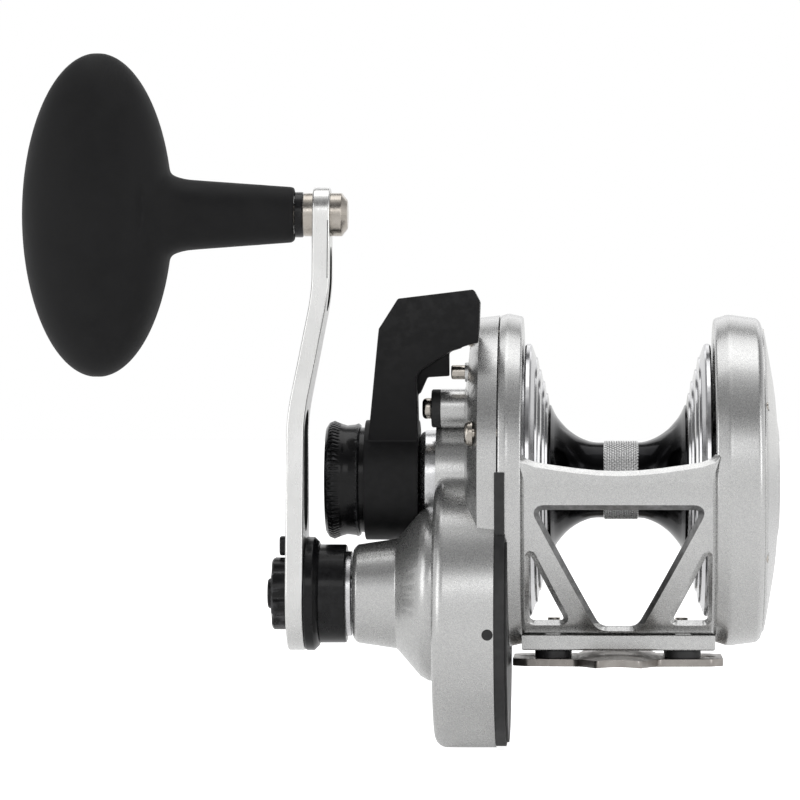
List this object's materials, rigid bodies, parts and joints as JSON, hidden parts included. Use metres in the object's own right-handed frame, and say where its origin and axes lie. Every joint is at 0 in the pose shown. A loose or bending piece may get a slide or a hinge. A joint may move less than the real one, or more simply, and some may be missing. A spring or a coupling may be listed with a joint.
{
  "type": "fishing reel",
  "caption": "Two-speed lever drag trolling reel: open frame with a metal spool, side gear case, hooked drag lever, long handle arm with an oval grip, and a rod clamp foot.",
  "frame": {"origin": "middle of the line between the two rod clamp holes, on the underside of the foot wings", "axes": "+X along the spool axis from the handle side to the palm side, +Y from the rod tip towards the angler, +Z from the foot up through the spool"},
  "size_m": [0.1808, 0.0851, 0.1651],
  "materials": {
    "silver_paint": "satin metallic silver paint",
    "foot_steel": "brushed stainless steel",
    "screw_steel": "warm toned stainless steel",
    "black_rubber": "matte black rubber",
    "black_plate": "satin black",
    "bright_alloy": "machined bright aluminium",
    "bearing_steel": "ground steel",
    "polished_alloy": "polished aluminium",
    "gloss_black": "gloss black anodised look",
    "gear_brass": "machined bronze",
    "grip_rubber": "soft touch matte black",
    "chrome_spool": "polished anodised",
    "carbon_washer": "woven carbon friction face",
    "matte_black": "matte black"
  },
  "bodies": {
    "reel_body": {"frame_left_ring": "silver_paint", "frame_right_ring": "silver_paint", "frame_crossbar": "silver_paint", "frame_braces": "silver_paint", "frame_rear_bar": "silver_paint", "frame_base": "silver_paint", "foot": "foot_steel", "foot_spacers": "foot_steel", "foot_screws": "screw_steel", "handle_side_plate": "silver_paint", "case_plug": "black_rubber", "gasket_plate": "black_plate", "case_inner_cover": "bright_alloy", "bridge_plate": "bright_alloy", "side_plate_screws": "screw_steel", "strike_post": "bright_alloy", "strike_bumper": "black_rubber", "strike_screw": "screw_steel", "stop_stud": "bright_alloy", "bearing_housing": "silver_paint", "shaft_bearing_outer": "bearing_steel", "one_way_clutch": "bearing_steel", "shaft_bearing_inner": "bearing_steel", "pinion_bearing": "bearing_steel", "pawl_posts": "bearing_steel", "lever_hub_disc": "bright_alloy", "palm_side_plate": "silver_paint", "palm_plate_screws": "screw_steel"},
    "handle": {"handle_arm": "polished_alloy", "hub_flange": "gloss_black", "hub_collar": "gloss_black", "spacer_ring": "bright_alloy", "cap_nut": "gloss_black", "handle_shaft": "bearing_steel", "main_gear_high": "gear_brass", "ratchet_wheel": "bearing_steel", "knob_pin": "bearing_steel", "knob_nut": "bearing_steel"},
    "knob": {"knob_grip": "grip_rubber", "knob_collar": "gloss_black", "knob_bearings": "bearing_steel"},
    "shifter": {"shift_button": "gloss_black"},
    "release": {"shift_release": "gloss_black"},
    "low_gear": {"main_gear_low": "gear_brass"},
    "pinion_group": {"pinion": "bearing_steel", "drag_plate": "bearing_steel"},
    "spindle_body": {"spindle": "bearing_steel"},
    "spool_body": {"spool": "chrome_spool", "spool_bearings": "bearing_steel", "drag_washer": "carbon_washer", "drag_cover": "bright_alloy", "click_wheel": "bearing_steel"},
    "preset": {"preset_knob": "gloss_black", "preset_springs": "bearing_steel"},
    "lever": {"drag_lever": "matte_black"},
    "clicker": {"clicker_button": "gloss_black"},
    "pawl_1": {"anti_reverse_pawl_1": "bearing_steel"},
    "pawl_2": {"anti_reverse_pawl_2": "bearing_steel"}
  },
  "joints": [
    {"name": "handle_spin", "type": "hinge", "parent": "reel_body", "child": "handle", "pos_m": [-0.06, -0.0125, 0.01717], "axis": [1, 0, 0], "continuous": true},
    {"name": "knob_spin", "type": "hinge", "parent": "handle", "child": "knob", "pos_m": [-0.09, -0.0125, 0.1073], "axis": [1, 0, 0], "continuous": true},
    {"name": "shift_press", "type": "slide", "parent": "handle", "child": "shifter", "axis": [1, 0, 0], "range_m": [0, 0.0022], "stiffness_N_per_m": 400},
    {"name": "shift_release_slide", "type": "slide", "parent": "handle", "child": "release", "axis": [0, 0, 1], "range_m": [0, 0.0015]},
    {"name": "low_gear_spin", "type": "hinge", "parent": "reel_body", "child": "low_gear", "pos_m": [-0.0367, -0.0125, 0.01717], "axis": [1, 0, 0], "continuous": true},
    {"name": "pinion_spin", "type": "hinge", "parent": "reel_body", "child": "pinion_group", "pos_m": [-0.03, 0, 0.044], "axis": [1, 0, 0], "continuous": true},
    {"name": "drag_shift", "type": "slide", "parent": "reel_body", "child": "spindle_body", "axis": [1, 0, 0], "range_m": [-0.0003, 0.0004]},
    {"name": "spool_spin", "type": "hinge", "parent": "spindle_body", "child": "spool_body", "pos_m": [0, 0, 0.044], "axis": [1, 0, 0], "continuous": true},
    {"name": "preset_turn", "type": "hinge", "parent": "spindle_body", "child": "preset", "pos_m": [-0.065, 0, 0.044], "axis": [1, 0, 0], "range_deg": [-150, 150]},
    {"name": "lever_swing", "type": "hinge", "parent": "reel_body", "child": "lever", "pos_m": [-0.054, 0, 0.044], "axis": [1, 0, 0], "range_deg": [-60, 45]},
    {"name": "clicker_slide", "type": "slide", "parent": "reel_body", "child": "clicker", "axis": [0, -0.766, -0.6428], "range_m": [0, 0.003]},
    {"name": "pawl_1_rock", "type": "hinge", "parent": "reel_body", "child": "pawl_1", "pos_m": [-0.0398, -0.02593, 0.00776], "axis": [1, 0, 0], "range_deg": [-3, 12], "stiffness_Nm_per_rad": 0.002},
    {"name": "pawl_2_rock", "type": "hinge", "parent": "reel_body", "child": "pawl_2", "pos_m": [-0.0398, 0.00236, 0.01024], "axis": [1, 0, 0], "range_deg": [-3, 12], "stiffness_Nm_per_rad": 0.002}
  ],
  "couplings": [
    {"joint": "pinion_spin", "follows": "handle_spin", "ratio": -3.625},
    {"joint": "low_gear_spin", "follows": "handle_spin", "ratio": 2.2065},
    {"joint": "spool_spin", "follows": "handle_spin", "ratio": -3.625},
    {"joint": "drag_shift", "follows": "lever_swing", "m_per_rad": -0.00033}
  ]
}
